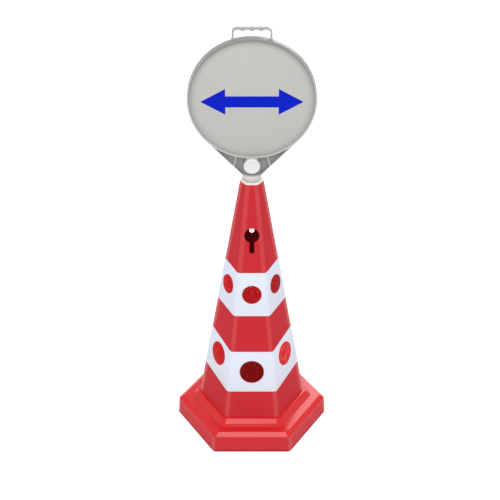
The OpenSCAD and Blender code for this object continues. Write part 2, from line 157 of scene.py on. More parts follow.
class Graph:
    """The node graph of a material or of the world."""

    def __init__(self, owner: bpy.types.Material | bpy.types.World) -> None:
        """Starts with an empty graph.

        Args:
            owner: The material or world that the nodes belong to.
        """
        owner.use_nodes = True
        self.owner = owner
        self.tree = owner.node_tree
        self.tree.nodes.clear()

    def node(
        self,
        kind: str,
        settings: dict[str, Any] | None = None,
        sockets: dict[str | int, Any] | None = None,
    ) -> bpy.types.Node:
        """Adds a node, sets its settings first and then its sockets.

        Args:
            kind: The node's type.
            settings: Properties of the node, such as a Math node's operation.
            sockets: Values or links of its input sockets, by name or index.

        Returns:
            The new node.
        """
        made = self.tree.nodes.new(kind)
        for key, value in (settings or {}).items():
            setattr(made, key, value)
        for key, value in (sockets or {}).items():
            self.feed(made.inputs[key], value)
        return made

    def feed(self, socket: bpy.types.NodeSocket, value: Any) -> None:
        """Links a term to an input socket, or sets the socket's own value.

        Args:
            socket: The input socket.
            value: A term, an output socket, a number, a colour or a vector.
        """
        if isinstance(value, Term):
            self.tree.links.new(value.socket, socket)
        elif isinstance(value, bpy.types.NodeSocket):
            self.tree.links.new(value, socket)
        elif socket.type == "RGBA":
            socket.default_value = (*value[:3], 1.0)
        else:
            socket.default_value = value

    def term(self, made: bpy.types.Node, output: str | int = 0) -> Term:
        """Returns one output of a node as a term."""
        return Term(self, made.outputs[output])

    def math(self, operation: str, *operands: Operand) -> Term:
        """Adds a Math node.

        Args:
            operation: The node's operation.
            operands: Its one or two inputs.

        Returns:
            The node's result.
        """
        sockets = dict(enumerate(operands))
        return self.term(self.node("ShaderNodeMath", {"operation": operation}, sockets))

    def place(self) -> Term:
        """Returns the position on the object, in metres."""
        return self.term(self.node("ShaderNodeTexCoord"), "Object")

    def axes(self) -> tuple[Term, Term, Term]:
        """Returns the three parts of the position on the object."""
        split = self.node("ShaderNodeSeparateXYZ", None, {0: self.place()})
        return self.term(split, 0), self.term(split, 1), self.term(split, 2)

    def noise(self, size: float, detail: float = 3.0, stretch: Sequence[float] = (1, 1, 1)) -> Term:
        """Returns soft noise from 0 to 1.

        Args:
            size: The size of a patch, in metres.
            detail: How many finer layers it has.
            stretch: Scale along each axis, smaller where patches are drawn out.

        Returns:
            The noise value.
        """
        moved = self.node("ShaderNodeMapping", None, {"Vector": self.place(), "Scale": stretch})
        made = self.node(
            "ShaderNodeTexNoise",
            None,
            {"Vector": moved.outputs[0], "Scale": 1 / size, "Detail": detail},
        )
        return self.term(made, 0)

    def cells(self, size: float, output: str) -> Term:
        """Returns one output of a pattern of cells.

        Args:
            size: The size of a cell, in metres.
            output: The output to take, Distance or Color.

        Returns:
            That output.
        """
        made = self.node("ShaderNodeTexVoronoi", None, {"Vector": self.place(), "Scale": 1 / size})
        return self.term(made, output)

    def cell_borders(self, size: float) -> Term:
        """Returns the distance to the nearest border in a pattern of cells.

        Args:
            size: The size of a cell, in metres.

        Returns:
            The distance, in cell sizes.
        """
        made = self.node(
            "ShaderNodeTexVoronoi",
            {"feature": "DISTANCE_TO_EDGE"},
            {"Vector": self.place(), "Scale": 1 / size},
        )
        return self.term(made, "Distance")

    def blend(self, factor: Operand, first: Any, second: Any) -> Term:
        """Returns a colour between two colours.

        Args:
            factor: 0 for the first colour, 1 for the second.
            first: A colour or a term.
            second: A colour or a term.

        Returns:
            The mixed colour.
        """
        made = self.node("ShaderNodeMix", {"data_type": "RGBA"}, {0: factor, 6: first, 7: second})
        return self.term(made, 2)

    def bump(self, height: Term, depth: float) -> Term:
        """Returns a normal bent by a height.

        Args:
            height: The height from 0 to 1.
            depth: How deep the height range is, in metres.

        Returns:
            The bent normal.
        """
        sockets = {"Height": height, "Distance": depth, "Strength": 1.0}
        return self.term(self.node("ShaderNodeBump", None, sockets))

    def finish(self, sockets: dict[str, Any]) -> bpy.types.Material:
        """Adds the surface shader and the output.

        Args:
            sockets: Values or links of the surface shader's sockets.

        Returns:
            The finished material.
        """
        shader = self.node("ShaderNodeBsdfPrincipled", None, sockets)
        self.node("ShaderNodeOutputMaterial", None, {"Surface": shader.outputs[0]})
        return self.owner


@dataclass(frozen=True)
class MouldedPlastic:
    """Satin moulded plastic with faint flow marks and a fine grain.

    Attributes:
        name: The material's name.
        colour: Its colour.
        roughness: Its mean roughness.
        flow: How strongly the flow marks change the colour.
        gloss: Strength of its reflections, 0.5 for common plastic.
        grain: Depth of the fine grain, in metres.
        grain_size: Size of a grain.
        flow_size: Size of a flow mark.
        flow_stretch: Scale of the flow marks along each axis.
        roughness_swing: How far the flow marks change the roughness up and down.
        parting_line: Whether a fine mould line runs down the side edges.
        line_half: Half width of that line.
        line_rise: Its height, in depths of the grain.
        edge_polish: Strength of the polish that rubbing gives the six upright edges.
        edge_r: Distance of those edges from the axis at floor level, in metres.
        edge_taper: How much that distance shrinks for each metre of height.
        edge_half: Half width of the polished stripe.
        edge_core: Share of that width that is fully polished.
        edge_shift: How far the stripe lies in from the edge, on the front and the rear face.
        polish_roughness: Roughness of the polish.
    """

    name: str
    colour: Colour
    roughness: float = 0.4
    flow: float = 0.02
    gloss: float = 0.3
    grain: float = 0.00006
    grain_size: float = 0.0016
    flow_size: float = 0.05
    flow_stretch: tuple[float, float, float] = (1.0, 1.0, 0.35)
    roughness_swing: float = 0.06
    parting_line: bool = False
    line_half: float = 0.0008
    line_rise: float = 2.0
    edge_polish: float = 0.0
    edge_r: float = 0.0
    edge_taper: float = 0.0
    edge_half: float = 0.006
    edge_core: float = 0.4
    edge_shift: float = 0.0
    polish_roughness: float = 0.25

    def material(self) -> bpy.types.Material:
        """Builds the material.

        Returns:
            The finished material.
        """
        graph = Graph(bpy.data.materials.new(self.name))
        flow = graph.noise(self.flow_size, 4.0, self.flow_stretch)
        height = graph.noise(self.grain_size, 2.0)
        if self.parting_line:
            _, across, _ = graph.axes()
            line = 1 - abs(across).above(self.line_half / 4, self.line_half)
            height = height + self.line_rise * line
        dark, pale = scaled(self.colour, 1 - self.flow), scaled(self.colour, 1 + self.flow)
        swing = self.roughness_swing
        sockets = {
            "Base Color": graph.blend(flow, dark, pale),
            "Roughness": self.roughness - swing + 2 * swing * flow,
            "Specular IOR Level": self.gloss,
            "Normal": graph.bump(height, self.grain),
        }
        if self.edge_polish:
            sockets["Coat Weight"] = self.edge_polish * self.near_edges(graph)
            sockets["Coat Roughness"] = self.polish_roughness
        self.wear_and_shade(graph, sockets)
        return graph.finish(sockets)

    def near_edges(self, graph: Graph) -> Term:
        """Finds the six upright edges.

        Args:
            graph: The material's graph.

        Returns:
            A mask that is 1 on the edges and 0 on the faces between them.
        """
        across, _, up = graph.axes()
        reach = self.edge_r - self.edge_taper * up
        front = abs(abs(across) - 0.5 * reach + self.edge_shift)
        side = abs(reach - abs(across))
        return 1 - front.at_most(side).above(self.edge_half * self.edge_core, self.edge_half)

    def wear_and_shade(self, graph: Graph, sockets: dict[str, Any]) -> None:
        """Changes the surface where wear marks it or shade is painted on it, which plain plastic
        leaves as it is.

        Args:
            graph: The material's graph.
            sockets: The surface shader's sockets, to be changed in place.
        """


@dataclass(frozen=True)
class BasePlastic(MouldedPlastic):
    """Plastic of the cone's base: polished on top, dull and scuffed on the skirt, with painted
    shadow along its foot.

    Attributes:
        skirt_colour: Colour of the scuffed skirt.
        skirt_top: Height at which the skirt ends, in metres.
        top_polish: Strength of the polish above it.
        floor_shadow_top: Height up to which a painted contact shadow at the floor darkens it.
        floor_shadow_shade: How dark that painted shadow is.
        streak_size: Size of a scuff.
        streak_stretch: Scale of the scuffs along each axis.
        scuff: How strongly scuffs change the colour.
        scuff_shade: How pale a scuff is.
        scuff_roughness: How much rougher it is.
    """

    skirt_colour: Colour = (0.5, 0.03, 0.04)
    skirt_top: float = 0.046
    top_polish: float = 0.52
    floor_shadow_top: float = 0.009
    floor_shadow_shade: float = 0.35
    streak_size: float = 0.004
    streak_stretch: tuple[float, float, float] = (0.25, 0.25, 1.6)
    scuff: float = 0.35
    scuff_shade: float = 1.5
    scuff_roughness: float = 0.2

    def wear_and_shade(self, graph: Graph, sockets: dict[str, Any]) -> None:
        """Dulls the skirt, scuffs its lower half, paints shadow along its foot and polishes the top.

        Args:
            graph: The material's graph.
            sockets: The surface shader's sockets, to be changed in place.
        """
        _, _, up = graph.axes()
        top = up.above(self.skirt_top - 0.002, self.skirt_top + 0.001)
        streaks = graph.noise(self.streak_size, 3.0, self.streak_stretch).above(0.62, 0.74)
        scuffs = streaks * (1 - up.above(self.skirt_top * 0.3, self.skirt_top))
        colour = graph.blend(top, self.skirt_colour, sockets["Base Color"])
        pale = scaled(self.skirt_colour, self.scuff_shade)
        colour = graph.blend(self.scuff * scuffs, colour, pale)
        # Painted contact shadow: the skirt darkens towards the floor.
        floor_shadow = scaled(self.skirt_colour, self.floor_shadow_shade)
        sockets["Base Color"] = graph.blend(up.above(0.0, self.floor_shadow_top), floor_shadow, colour)
        sockets["Roughness"] = sockets["Roughness"] + self.scuff_roughness * scuffs
        sockets["Coat Weight"] = sockets["Coat Weight"].at_least(self.top_polish * top)


@dataclass(frozen=True)
class PanelPlastic(MouldedPlastic):
    """Plastic of the sign's panel, with painted shade in the gusset and on the rim's upper half.

    Attributes:
        centre_z: Height of the rim's centre, in metres.
        rim_r: Outer radius of the rim.
        pocket_shade: How dark the painted shade in the gusset's recess is.
        rib: Place of a rib's middle, out from the sign's middle and up from the floor.
        rib_lean: How far a rib leans inwards, in degrees.
        rib_half: Half the thickness of a rib.
        rim_shade: How dark the painted shade is at the rim's top.
        rim_shade_full: Height of the fullest painted shade over the rim's centre, as a share of its
            radius.
    """

    centre_z: float = SIGN_CENTRE_Z
    rim_r: float = 0.163
    pocket_shade: float = 0.54
    rib: tuple[float, float] = (0.0435, 0.807)
    rib_lean: float = 14.0
    rib_half: float = 0.0018
    rim_shade: float = 0.6
    rim_shade_full: float = 0.92

    def wear_and_shade(self, graph: Graph, sockets: dict[str, Any]) -> None:
        """Paints shade into the gusset between its ribs, and onto the rim's upper half.

        Args:
            graph: The material's graph.
            sockets: The surface shader's sockets, to be changed in place.
        """
        across, _, up = graph.axes()
        rise = up - self.centre_z
        reach = graph.math("SQRT", across * across + rise * rise)
        lean = math.radians(self.rib_lean)
        out, over = abs(across) - self.rib[0], up - self.rib[1]
        beside = out * math.cos(lean) + over * math.sin(lean)
        between = abs(beside).above(self.rib_half, self.rib_half + 0.0006)
        outside = reach.above(self.rim_r + 0.0003, self.rim_r + 0.0012)
        # Painted shade in the gusset's recess, below the disc.
        pocket_shade = outside * between * (1 - rise.above(-0.01, 0.0))
        colour = graph.blend(pocket_shade, sockets["Base Color"], scaled(self.colour, self.pocket_shade))
        # Painted shade on the rim, darker towards its top.
        rim_shaded = rise.above(0.0, self.rim_r * self.rim_shade_full)
        sockets["Base Color"] = graph.blend(rim_shaded, colour, scaled(self.colour, self.rim_shade))


@dataclass(frozen=True)
class ReflectiveSheet:
    """Bluish white reflective sheet, sealed in small cells under a clear glossy face.

    Attributes:
        name: The material's name.
        colour: Its colour.
        cell: Size of a cell, in metres.
        seam: How strongly the seams between cells show.
        seam_shade: How dark a seam is.
        seam_depth: Depth of a seam, in metres.
    """

    name: str
    colour: Colour
    cell: float = 0.0032
    seam: float = 0.22
    seam_shade: float = 0.72
    seam_depth: float = 0.00005

    def material(self) -> bpy.types.Material:
        """Builds the material.

        Returns:
            The finished material.
        """
        graph = Graph(bpy.data.materials.new(self.name))
        seam = 1 - graph.cell_borders(self.cell).above(0.02, 0.12)
        cloud = graph.noise(0.03, 3.0)
        colour = graph.blend(cloud, scaled(self.colour, 0.97), scaled(self.colour, 1.02))
        colour = graph.blend(self.seam * seam, colour, scaled(self.colour, self.seam_shade))
        return graph.finish(
            {
                "Base Color": colour,
                "Roughness": 0.35 + 0.15 * cloud,
                "Specular IOR Level": 0.35,
                "Normal": graph.bump(1 - seam, self.seam_depth),
            }
        )


@dataclass(frozen=True)
class PrismLens:
    """Red prismatic reflector: many tiny prisms, with painted glints on some of them.

    Attributes:
        name: The material's name.
        colour: Its mean colour.
        glint: Colour of the painted glints, prisms shown catching the light.
        glint_share: Share of prisms with a painted glint, from 0 to 1.
        prism: Size of a prism, in metres.
        prism_depth: Depth of a prism, in metres.
        gloss: Strength of its reflections, 0.5 for common plastic.
    """

    name: str
    colour: Colour
    glint: Colour
    glint_share: float = 0.12
    prism: float = 0.0022
    prism_depth: float = 0.0002
    gloss: float = 0.02

    def material(self) -> bpy.types.Material:
        """Builds the material.

        Returns:
            The finished material.
        """
        graph = Graph(bpy.data.materials.new(self.name))
        prisms = graph.cells(self.prism, "Color")
        shade = graph.node("ShaderNodeSeparateColor", None, {0: prisms})
        tone = graph.term(shade, 0)
        # Painted glints: some prisms painted pale, as if catching the light.
        painted_glint = graph.term(shade, 1).above(1 - self.glint_share, 1.001 - self.glint_share * 0.6)
        tilt = graph.cells(self.prism, "Distance")
        colour = graph.blend(tone, scaled(self.colour, 0.72), scaled(self.colour, 1.3))
        colour = graph.blend(0.75 * painted_glint, colour, self.glint)
        return graph.finish(
            {
                "Base Color": colour,
                "Roughness": 0.3 + 0.2 * tone,
                "Specular IOR Level": self.gloss,
                "Normal": graph.bump(tilt, self.prism_depth),
            }
        )


@dataclass(frozen=True)
class FaceFilm:
    """Matt sign film with a faint cloudiness, very fine tooth and a painted shadow round its rim.

    Attributes:
        name: The material's name.
        colour: Its colour.
        roughness: Its mean roughness.
        gloss: Strength of its reflections, 0.5 for common plastic.
        centre_z: Height of the round face's centre, in metres.
        rim_shadow_from: Distance from that centre at which the painted shadow of the rim begins, or
            0 for none.
        rim_shadow_to: Distance at which it is fullest.
        rim_shadow_shade: How dark the painted shadow is.
    """

    name: str
    colour: Colour
    roughness: float = 0.55
    gloss: float = 0.25
    centre_z: float = SIGN_CENTRE_Z
    rim_shadow_from: float = 0.0
    rim_shadow_to: float = 0.158
    rim_shadow_shade: float = 0.72

    def material(self) -> bpy.types.Material:
        """Builds the material.

        Returns:
            The finished material.
        """
        graph = Graph(bpy.data.materials.new(self.name))
        cloud = graph.noise(0.06, 4.0)
        tooth = graph.noise(0.0009, 2.0)
        colour = graph.blend(cloud, scaled(self.colour, 0.98), scaled(self.colour, 1.02))
        if self.rim_shadow_from:
            across, _, up = graph.axes()
            rise = up - self.centre_z
            reach = graph.math("SQRT", across * across + rise * rise)
            # Painted shadow of the rim on the face, heavier towards the top, where the light comes
            # from above.
            higher = 0.3 + 0.7 * rise.above(-0.12, 0.08)
            rim_shadow = reach.above(self.rim_shadow_from, self.rim_shadow_to) * higher
            colour = graph.blend(rim_shadow, colour, scaled(self.colour, self.rim_shadow_shade))
        return graph.finish(
            {
                "Base Color": colour,
                "Roughness": self.roughness - 0.05 + 0.1 * cloud,
                "Specular IOR Level": self.gloss,
                "Normal": graph.bump(tooth, 0.00003),
            }
        )


@dataclass(frozen=True)
class RubberCrumb:
    """Pressed recycled rubber with a rough face and a few pale crumbs.

    Attributes:
        name: The material's name.
        colour: Its colour.
        crumb: Size of a crumb, in metres.
        crumb_rise: Height of a crumb, in metres.
        pale: Colour of the pale crumbs.
    """

    name: str
    colour: Colour
    crumb: float = 0.003
    crumb_rise: float = 0.0006
    pale: Colour = (0.16, 0.15, 0.14)

    def material(self) -> bpy.types.Material:
        """Builds the material.

        Returns:
            The finished material.
        """
        graph = Graph(bpy.data.materials.new(self.name))
        crumbs = graph.cells(self.crumb, "Color")
        shade = graph.node("ShaderNodeSeparateColor", None, {0: crumbs})
        pale = graph.term(shade, 0).above(0.9, 0.98)
        colour = graph.blend(0.5 * pale, self.colour, self.pale)
        return graph.finish(
            {
                "Base Color": colour,
                "Roughness": 0.8 + 0.1 * graph.noise(0.01),
                "Normal": graph.bump(graph.cells(self.crumb, "Distance"), self.crumb_rise),
            }
        )


@dataclass(frozen=True)
class ZincSteel:
    """Zinc plated steel of small fasteners.

    Attributes:
        name: The material's name.
        colour: Its colour.
    """

    name: str
    colour: Colour

    def material(self) -> bpy.types.Material:
        """Builds the material.

        Returns:
            The finished material.
        """
        graph = Graph(bpy.data.materials.new(self.name))
        stain = graph.noise(0.004, 4.0)
        colour = graph.blend(stain, scaled(self.colour, 0.85), scaled(self.colour, 1.1))
        return graph.finish(
            {
                "Base Color": colour,
                "Metallic": 1.0,
                "Roughness": 0.28 + 0.2 * stain,
                "Normal": graph.bump(graph.noise(0.0006, 2.0), 0.00003),
            }
        )


class Body(Enum):
    """The bodies that pieces ride on."""

    CONE = "cone"
    PLUG = "plug"
    SIGN = "sign"


@dataclass
class Rounded:
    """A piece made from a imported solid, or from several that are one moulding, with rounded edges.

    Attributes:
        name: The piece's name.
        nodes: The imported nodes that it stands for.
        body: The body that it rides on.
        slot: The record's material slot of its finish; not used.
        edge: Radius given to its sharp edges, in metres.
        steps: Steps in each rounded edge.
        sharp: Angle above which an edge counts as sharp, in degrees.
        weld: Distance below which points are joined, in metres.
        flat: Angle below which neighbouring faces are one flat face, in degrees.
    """

    name: str
    nodes: tuple[str, ...]
    body: Body
    slot: str
    edge: float = 0.0008
    steps: int = 3
    sharp: float = 35.0
    weld: float = 0.000005
    flat: float = 0.4

    def build(self, material: bpy.types.Material) -> bpy.types.Object:
        """Makes the rounded piece, dresses it and puts it in the node's place.

        Args:
            material: The finish.

        Returns:
            The new piece.
        """
        mesh = self.welded()
        self.round_edges(mesh)
        piece = new_piece(self.name, mesh, material, self.body, self.sharp)
        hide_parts(*self.nodes)
        LOG.info("%s: %d faces", piece.name, len(piece.data.polygons))
        return piece

    def welded(self) -> bmesh.types.BMesh:
        """Joins the solids' meshes to one.

        Returns:
            The mesh, with its points welded and its flat faces joined.
        """
        mesh = bmesh.new()
        for node in self.nodes:
            mesh.from_mesh(bpy.data.objects[node].data)
        bmesh.ops.remove_doubles(mesh, verts=mesh.verts, dist=self.weld)
        if len(self.nodes) > 1:
            inner = [f for f in mesh.faces if self.is_mitre(f)]
            bmesh.ops.delete(mesh, geom=inner, context="FACES")
        bmesh.ops.dissolve_limit(
            mesh,
            angle_limit=math.radians(self.flat),
            verts=mesh.verts,
            edges=mesh.edges,
            use_dissolve_boundaries=False,
        )
        return mesh

    @staticmethod
    def is_mitre(face: bmesh.types.BMFace) -> bool:
        """Tells whether a face lies in an upright plane through the axis where two solids meet.

        Args:
            face: The face to look at.

        Returns:
            True if all its points lie in one of the two planes.
        """
        slack = 0.000005
        turns = [math.radians(FACE_TURN * i) for i in (1, 2)]
        normals = [Vector((math.sin(turn), -math.cos(turn), 0.0)) for turn in turns]
        return any(all(abs(v.co.dot(n)) < slack for v in face.verts) for n in normals)

    def round_edges(self, mesh: bmesh.types.BMesh) -> None:
        """Rounds every edge that is sharper than the limit.

        Args:
            mesh: The mesh to change.
        """
        limit = math.radians(self.sharp)
        sharp = [e for e in mesh.edges if len(e.link_faces) == 2 and e.calc_face_angle(0.0) > limit]
        if self.edge and sharp:
            bmesh.ops.bevel(
                mesh,
                geom=sharp,
                offset=self.edge,
                offset_type="OFFSET",
                segments=self.steps,
                profile=0.5,
                affect="EDGES",
                clamp_overlap=True,
            )


def new_piece(
    name: str,
    mesh: bmesh.types.BMesh,
    material: bpy.types.Material,
    body: Body,
    sharp: float = 35.0,
) -> bpy.types.Object:
    """Turns a mesh into an object that rides on a body.

    Args:
        name: The object's name.
        mesh: The finished mesh, which is freed.
        material: The finish.
        body: The body to ride on.
        sharp: Angle above which shading breaks at an edge, in degrees.

    Returns:
        The new object.
    """
    data = bpy.data.meshes.new(name)
    mesh.to_mesh(data)
    mesh.free()
    data.shade_smooth()
    data.set_sharp_from_angle(angle=math.radians(sharp))
    data.materials.append(material)
    piece = bpy.data.objects.new(name, data)
    bpy.context.scene.collection.objects.link(piece)
    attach(piece, body.value)
    return piece


def dressed(
    node: str,
    body: Body,
    slot: str,
    material: bpy.types.Material,
    edge: float = 0.0008,
    steps: int = 3,
) -> bpy.types.Object:
    """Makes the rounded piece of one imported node.

    Args:
        node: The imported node.
        body: The body to ride on.
        slot: The record's material slot.
        material: The finish.
        edge: Radius given to its sharp edges, in metres.
        steps: Steps in each rounded edge.

    Returns:
        The new piece.
    """
    return Rounded(node + "_look", (node,), body, slot, edge, steps).build(material)


@dataclass(frozen=True)
class Section:
    """A rounded hexagon that the base's shell passes through.

    Attributes:
        z: Its height, in metres.
        r: Distance of its sharp corners from the axis.
        bend: Radius of the shell's bend at it.
        corner: Radius of its rounded corners.
    """

    z: float
    r: float
    bend: float
    corner: float


@dataclass
class BaseMoulding:
    """The base as one hollow shell with soft bends, and the screw posts inside it.

    Attributes:
        sections: Its sections, from the floor up the outside and back down the inside.
        bend_steps: Steps in each bend.
        corner_steps: Steps in each rounded corner.
        lead: How far a plain strip runs on beside each bend, so that flat faces shade flat.
        post_r: Radius of a post.
        post_steps: Steps round a post.
        post_circle: Distance of the posts from the axis.
        post_low: Height of a post's lower end.
        post_high: Height of its upper end.
    """

    sections: tuple[Section, ...] = (
        Section(0.0, 0.2098, 0.0005, 0.010),
        Section(0.0015, 0.2110, 0.0012, 0.010),
        Section(0.0493, 0.2079, 0.0028, 0.010),
        Section(0.0583, 0.1940, 0.0032, 0.012),
        Section(0.0603, 0.1690, 0.0025, 0.026),
        Section(0.0662, 0.1660, 0.0022, 0.026),
        Section(0.0773, 0.1553, 0.0028, 0.020),
        Section(0.0780, 0.1476, 0.0005, 0.0123),
        Section(0.0745, 0.1482, 0.0004, 0.0123),
        Section(0.0745, 0.1552, 0.0004, 0.0120),
        Section(0.0560, 0.1552, 0.0004, 0.0120),
        Section(0.0510, 0.2000, 0.0004, 0.0100),
        Section(0.0460, 0.2046, 0.0004, 0.0065),
        Section(0.0, 0.2076, 0.0004, 0.0065),
    )
    bend_steps: int = 5
    corner_steps: int = 10
    lead: float = 0.0008
    post_r: float = 0.008
    post_steps: int = 32
    post_circle: float = 0.1548
    post_low: float = 0.040
    post_high: float = 0.0552

    def build(self, material: bpy.types.Material) -> bpy.types.Object:
        """Makes the shell with its posts, dresses it and puts it in the node's place.

        Args:
            material: The finish.

        Returns:
            The new piece.
        """
        mesh = bmesh.new()
        rings = [[mesh.verts.new(place) for place in self.ring(s)] for s in self.bent()]
        for i, ring in enumerate(rings):
            above = rings[(i + 1) % len(rings)]
            for j, vert in enumerate(ring):
                k = (j + 1) % len(ring)
                mesh.faces.new((vert, ring[k], above[k], above[j]))
        for i in range(FACES):
            turn = math.radians(FACE_TURN * (i + 0.5))
            middle = Vector((math.cos(turn), math.sin(turn), 0.0)) * self.post_circle
            middle.z = (self.post_low + self.post_high) / 2
            bmesh.ops.create_cone(
                mesh,
                cap_ends=True,
                segments=self.post_steps,
                radius1=self.post_r,
                radius2=self.post_r,
                depth=self.post_high - self.post_low,
                matrix=Matrix.Translation(middle),
            )
        piece = new_piece("cone_base_look", mesh, material, Body.CONE)
        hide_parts("cone_base")
        LOG.info("%s: %d faces", piece.name, len(piece.data.polygons))
        return piece

    def bent(self) -> list[Section]:
        """Bends the shell softly at its sections.

        Returns:
            The sections with an arc in place of each bend.
        """
        rows: list[Section] = []
        count = len(self.sections)
        for i, middle in enumerate(self.sections):
            before, after = self.sections[i - 1], self.sections[(i + 1) % count]
            here = Vector((middle.r, middle.z))
            back = (Vector((before.r, before.z)) - here).normalized()
            on = (Vector((after.r, after.z)) - here).normalized()
            half = back.angle(on) / 2
            run = middle.bend / math.tan(half)
            centre = here + (back + on).normalized() * (middle.bend / math.sin(half))
            start, end = here + back * run - centre, here + on * run - centre
            shares = [step / self.bend_steps for step in range(self.bend_steps + 1)]
            turns = [start.slerp(end, share).normalized() for share in shares]
            arc = [centre + turn * middle.bend for turn in turns]
            points = [here + back * (run + self.lead), *arc, here + on * (run + self.lead)]
            rows += [Section(p.y, p.x, 0.0, middle.corner) for p in points]
        return rows

    def ring(self, section: Section) -> list[Vector]:
        """Returns the points of a rounded hexagon.

        Args:
            section: Its height, reach and corner radius.

        Returns:
            The points, with a plain strip beside each rounded corner.
        """
        points = []
        half = FACE_TURN / 2
        reach = section.r - section.corner / math.cos(math.radians(half))
        for corner in range(FACES):
            turn = math.radians(FACE_TURN * corner)
            middle = Vector((math.cos(turn), math.sin(turn), 0.0)) * reach
            middle.z = section.z
            for step in range(-1, self.corner_steps + 2):
                inside = min(max(step, 0), self.corner_steps)
                angle = turn + math.radians(FACE_TURN * inside / self.corner_steps - half)
                out = Vector((math.cos(angle), math.sin(angle), 0.0))
                along = Vector((-out.y, out.x, 0.0)) * self.lead * (step - inside)
                points.append(middle + out * section.corner + along)
        return points


@dataclass
class RoadCone:
    """The cone's body, base and ballast.

    Attributes:
        red: Finish of the body.
        base_red: Finish of the base.
        rubber: Finish of the ballast ring.
        steel: Finish of the ballast screws.
        body_nodes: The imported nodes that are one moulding.
        body_edge: Radius of the body's moulded edges.
        body_weld: Distance below which points of the body's nodes are joined.
        base: The base's moulding.
        ballast_edge: Radius of the ballast ring's edges.
        screw_edge: Radius of the ballast screws' edges.
    """

    red: MouldedPlastic = MouldedPlastic(
        "cone_red",
        from_srgb("c82f36"),
        0.4,
        gloss=0.04,
        parting_line=True,
        edge_polish=0.8,
        edge_r=0.1585,
        edge_taper=0.1704,
        edge_half=0.008,
        edge_shift=0.004,
        polish_roughness=0.35,
    )
    base_red: BasePlastic = BasePlastic(
        "base_red",
        from_srgb("d81f24"),
        0.4,
        gloss=0.05,
        parting_line=True,
        edge_polish=0.6,
        edge_r=0.21,
        edge_taper=0.06,
        polish_roughness=0.2,
        skirt_colour=from_srgb("cf353d"),
        skirt_top=0.047,
    )
    rubber: RubberCrumb = RubberCrumb("ballast_rubber", (0.022, 0.022, 0.022))
    steel: ZincSteel = ZincSteel("ballast_steel", (0.6, 0.6, 0.62))
    body_nodes: tuple[str, ...] = ("body_front", "body_rear", "body_left", "body_right")
    body_edge: float = 0.0003
    body_weld: float = 0.00005
    base: BaseMoulding = field(default_factory=BaseMoulding)
    ballast_edge: float = 0.002
    screw_edge: float = 0.0006

    def build(self) -> None:
        """Makes and dresses the pieces."""
        red = self.red.material()
        body = Rounded("cone_body_look", self.body_nodes, Body.CONE, "cone_red", self.body_edge)
        body.weld = self.body_weld
        body.build(red)
        self.base.build(self.base_red.material())
        rubber, steel = self.rubber.material(), self.steel.material()
        dressed("ballast_ring", Body.CONE, "ballast_rubber", rubber, self.ballast_edge)
        dressed("ballast_screws", Body.CONE, "steel", steel, self.screw_edge)


class ReflectorPaintedLight(Enum):
    """Painted light of a reflector: one finish in darker and lighter copies, after how the light
    fell on each face.
    """

    DEEP = "deep"
    EVEN = "even"
    BRIGHT = "bright"
    LIVELY = "lively"

    def lens(self) -> PrismLens:
        """Picks the darker or lighter painted copy of the reflector finish.

        Returns:
            The finish.
        """
        # Each tone paints the reflector lighter or darker, with its own share of painted glints.
        colour, glint, share = {
            ReflectorPaintedLight.DEEP: ("740c0c", "a83030", 0.06),
            ReflectorPaintedLight.EVEN: ("a8191c", "d85a5a", 0.04),
            ReflectorPaintedLight.BRIGHT: ("cc1a1c", "e66a6a", 0.04),
            ReflectorPaintedLight.LIVELY: ("dc2228", "f39a9a", 0.16),
        }[self]
        return PrismLens(f"reflector_{self.value}", from_srgb(colour), from_srgb(glint), share)


@dataclass
class ReflectiveDress:
    """The white bands and the red reflectors on the cone's faces.

    Attributes:
        sheet: Finish of the bands.
        upper: Painted light of the upper reflectors, a lit or shaded copy per face, in face order
            from the front.
        lower: Painted light of the lower reflectors, a lit or shaded copy per face, in face order
            from the front.
        sheet_edge: Radius of the bands' edges.
        lens_edge: Radius of the reflectors' edges.
    """

    sheet: ReflectiveSheet = ReflectiveSheet("band_white", from_srgb("e3e9f7"))
    upper: tuple[ReflectorPaintedLight, ...] = (
        ReflectorPaintedLight.EVEN,
        ReflectorPaintedLight.EVEN,
        ReflectorPaintedLight.BRIGHT,
    ) * 2
    lower: tuple[ReflectorPaintedLight, ...] = (
        ReflectorPaintedLight.DEEP,
        ReflectorPaintedLight.LIVELY,
        ReflectorPaintedLight.BRIGHT,
    ) * 2
    sheet_edge: float = 0.0002
    lens_edge: float = 0.0005

    def build(self) -> None:
        """Makes and dresses the pieces."""
        sheet = self.sheet.material()
        for band in ("upper", "lower"):
            for half in ("front", "rear"):
                node = f"{band}_band_{half}"
                dressed(node, Body.CONE, "band_white", sheet, self.sheet_edge, 2)
        lenses = {tone: tone.lens().material() for tone in ReflectorPaintedLight}
        for band, tones in (("upper", self.upper), ("lower", self.lower)):
            for face, tone in enumerate(tones, start=1):
                node = f"{band}_reflector_{face}"
                dressed(node, Body.CONE, "reflector_red", lenses[tone], self.lens_edge)


